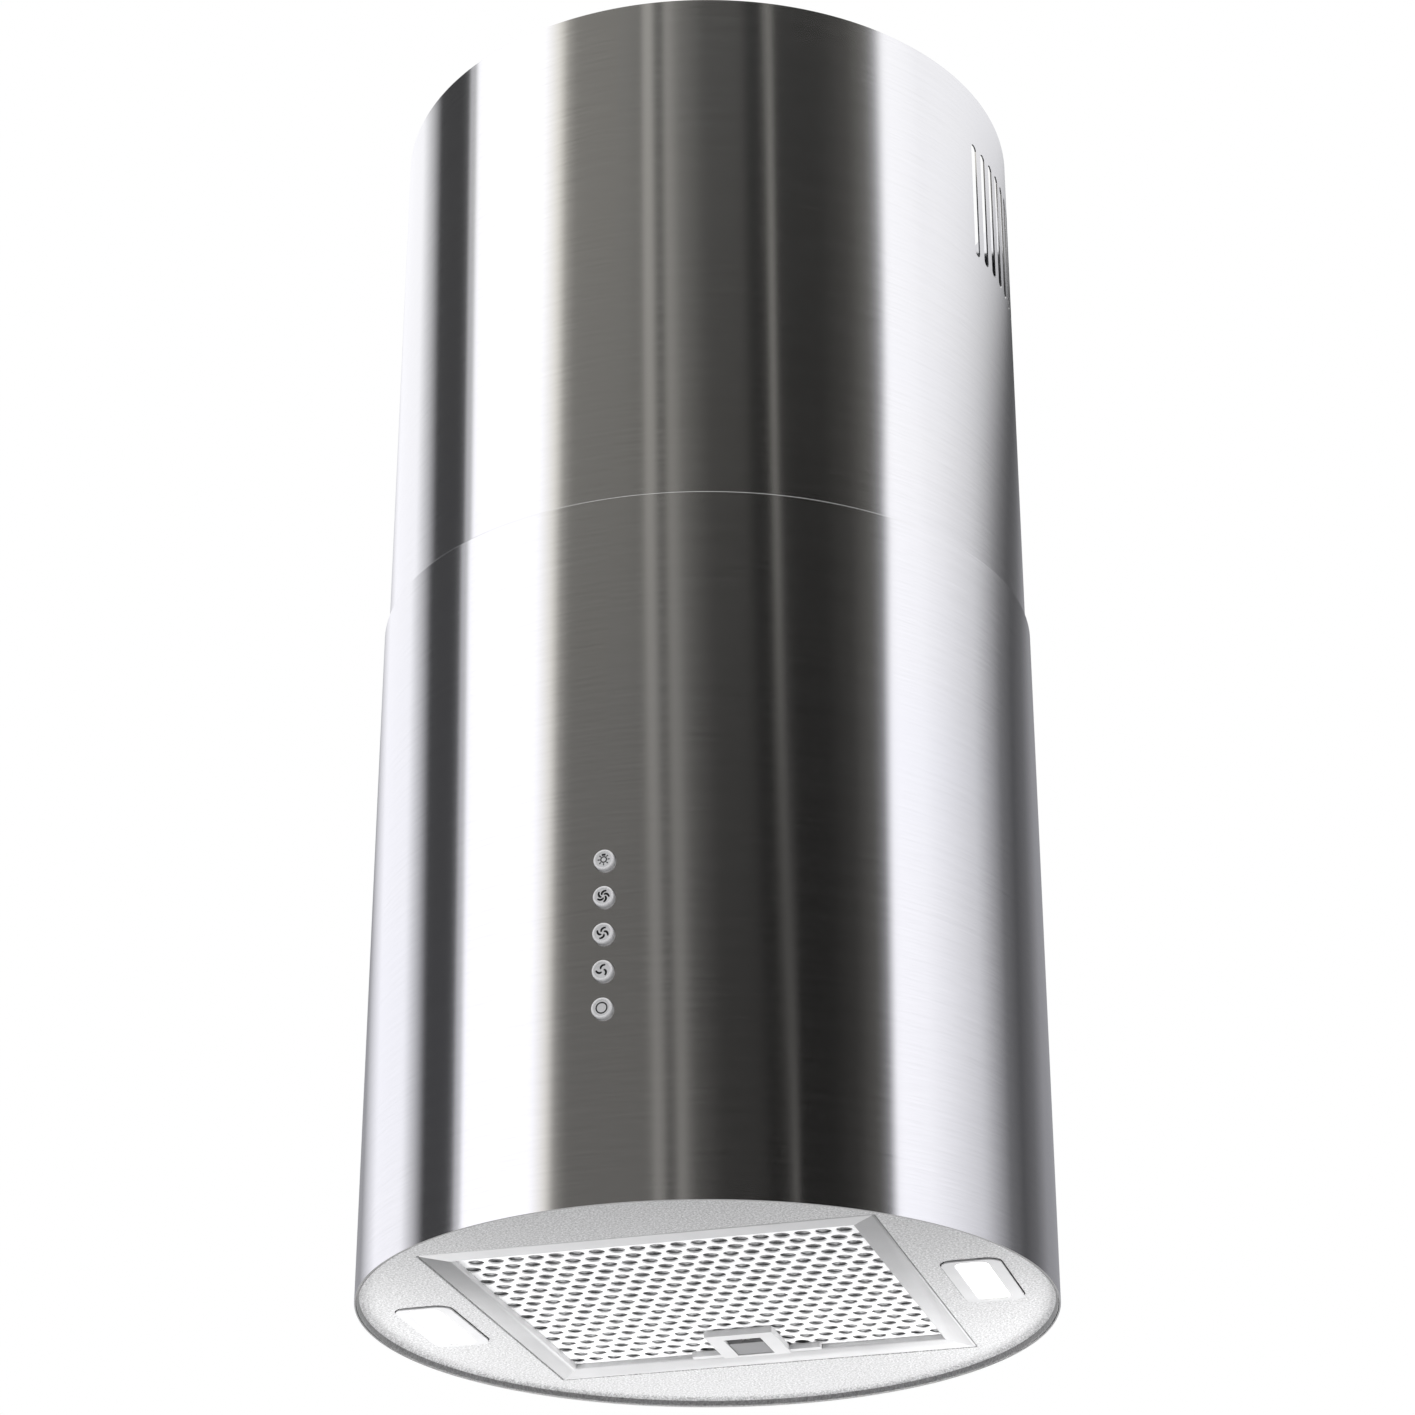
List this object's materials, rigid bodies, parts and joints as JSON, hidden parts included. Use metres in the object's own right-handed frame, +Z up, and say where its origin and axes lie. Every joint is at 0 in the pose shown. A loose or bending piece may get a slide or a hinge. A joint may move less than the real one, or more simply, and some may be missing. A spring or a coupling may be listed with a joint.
{
  "type": "island range hood",
  "caption": "Round telescoping island range hood with blower, grease filter, lamps, buttons and ceiling frame.",
  "frame": {"origin": "centre of the ceiling face, on the hood's vertical axis", "axes": "+Z up into the ceiling, -Y towards the button side, +X to the right seen from the buttons"},
  "size_m": [0.3499, 0.3524, 0.677],
  "materials": {
    "stainless": "fine horizontal brush",
    "turned_steel": "turned, satin",
    "galvanised": "zinc coated sheet, satin",
    "fastener": "zinc plated",
    "silver_paint": "fine grained silver lacquer",
    "filter_metal": "satin lacquer",
    "mesh": "layered expanded mesh",
    "button_cap": "satin face, bright bevel",
    "motor_case": "satin grey",
    "black_plastic": "fine matt",
    "white_plastic": "semi gloss",
    "board": "lacquered circuit board",
    "lens": "frosted diffuser"
  },
  "bodies": {
    "ceiling_mount": {"ceiling_plate": "galvanised", "upper_tube": "stainless", "upper_rail_fl": "galvanised", "upper_rail_fr": "galvanised", "upper_rail_bl": "galvanised", "upper_rail_br": "galvanised", "rail_fasteners": "fastener", "tube_screws": "fastener"},
    "hood_body": {"lower_tube": "stainless", "lower_rail_fl": "galvanised", "lower_rail_fr": "galvanised", "lower_rail_bl": "galvanised", "lower_rail_br": "galvanised", "blower_plate": "galvanised", "outlet_collar": "galvanised", "flap_pin": "fastener", "scroll_wrap": "galvanised", "scroll_side_left": "galvanised", "scroll_side_right": "galvanised", "inlet_ring_left": "galvanised", "inlet_ring_right": "galvanised", "motor": "motor_case", "motor_bracket": "galvanised", "capacitor": "white_plastic", "junction_box": "black_plastic", "junction_cover": "black_plastic", "cable_gland": "black_plastic", "led_driver": "white_plastic", "chassis_frame": "galvanised", "base_pan": "silver_paint", "lamp_housing_left": "filter_metal", "lamp_housing_right": "filter_metal", "lamp_board_left": "board", "lamp_board_right": "board", "lamp_lens_left": "lens", "lamp_lens_right": "lens", "switch_box": "black_plastic", "switch_board": "board", "button_springs": "fastener", "frame_screws": "fastener", "latch_strike": "silver_paint"},
    "grease_filter": {"filter_frame": "filter_metal", "filter_front_sheet": "filter_metal", "filter_mesh": "mesh", "filter_back_sheet": "filter_metal", "latch_body": "filter_metal", "latch_spring": "fastener"},
    "filter_latch": {"latch_slider": "filter_metal"},
    "blower_wheel": {"impeller": "galvanised", "motor_shaft": "turned_steel"},
    "front_flap": {"flap_front": "galvanised"},
    "rear_flap": {"flap_back": "galvanised"},
    "left_charcoal": {"charcoal_filter_left": "black_plastic"},
    "right_charcoal": {"charcoal_filter_right": "black_plastic"},
    "button_light_body": {"button_light": "button_cap"},
    "button_high_body": {"button_high": "button_cap"},
    "button_medium_body": {"button_medium": "button_cap"},
    "button_low_body": {"button_low": "button_cap"},
    "button_off_body": {"button_off": "button_cap"}
  },
  "joints": [
    {"name": "height_adjust", "type": "slide", "parent": "ceiling_mount", "child": "hood_body", "axis": [0, 0, 1], "range_m": [-0.06, 0.08]},
    {"name": "filter_tilt", "type": "hinge", "parent": "hood_body", "child": "grease_filter", "pos_m": [0, -0.1118, -0.6715], "axis": [-1, 0, 0], "range_deg": [0, 75], "deforming": ["latch_strike"]},
    {"name": "latch_pull", "type": "slide", "parent": "grease_filter", "child": "filter_latch", "axis": [0, -1, 0], "range_m": [0, 0.006], "stiffness_N_per_m": 250, "springref_m": -0.004, "deforming": ["latch_spring"]},
    {"name": "blower_spin", "type": "hinge", "parent": "hood_body", "child": "blower_wheel", "pos_m": [0, -0.04, -0.487], "axis": [1, 0, 0], "continuous": true},
    {"name": "front_flap_swing", "type": "hinge", "parent": "hood_body", "child": "front_flap", "pos_m": [0, 0, -0.3568], "axis": [-1, 0, 0], "range_deg": [0, 75]},
    {"name": "rear_flap_swing", "type": "hinge", "parent": "hood_body", "child": "rear_flap", "pos_m": [0, 0, -0.3568], "axis": [1, 0, 0], "range_deg": [0, 75]},
    {"name": "left_charcoal_twist", "type": "hinge", "parent": "hood_body", "child": "left_charcoal", "pos_m": [0, -0.04, -0.487], "axis": [-1, 0, 0], "range_deg": [0, 22]},
    {"name": "right_charcoal_twist", "type": "hinge", "parent": "hood_body", "child": "right_charcoal", "pos_m": [0, -0.04, -0.487], "axis": [1, 0, 0], "range_deg": [0, 22]},
    {"name": "button_light_press", "type": "slide", "parent": "hood_body", "child": "button_light_body", "axis": [0, 1, 0], "range_m": [0, 0.003], "stiffness_N_per_m": 400, "springref_m": -0.002, "deforming": ["button_springs"]},
    {"name": "button_high_press", "type": "slide", "parent": "hood_body", "child": "button_high_body", "axis": [0, 1, 0], "range_m": [0, 0.003], "stiffness_N_per_m": 400, "springref_m": -0.002, "deforming": ["button_springs"]},
    {"name": "button_medium_press", "type": "slide", "parent": "hood_body", "child": "button_medium_body", "axis": [0, 1, 0], "range_m": [0, 0.003], "stiffness_N_per_m": 400, "springref_m": -0.002, "deforming": ["button_springs"]},
    {"name": "button_low_press", "type": "slide", "parent": "hood_body", "child": "button_low_body", "axis": [0, 1, 0], "range_m": [0, 0.003], "stiffness_N_per_m": 400, "springref_m": -0.002, "deforming": ["button_springs"]},
    {"name": "button_off_press", "type": "slide", "parent": "hood_body", "child": "button_off_body", "axis": [0, 1, 0], "range_m": [0, 0.003], "stiffness_N_per_m": 400, "springref_m": -0.002, "deforming": ["button_springs"]}
  ]
}
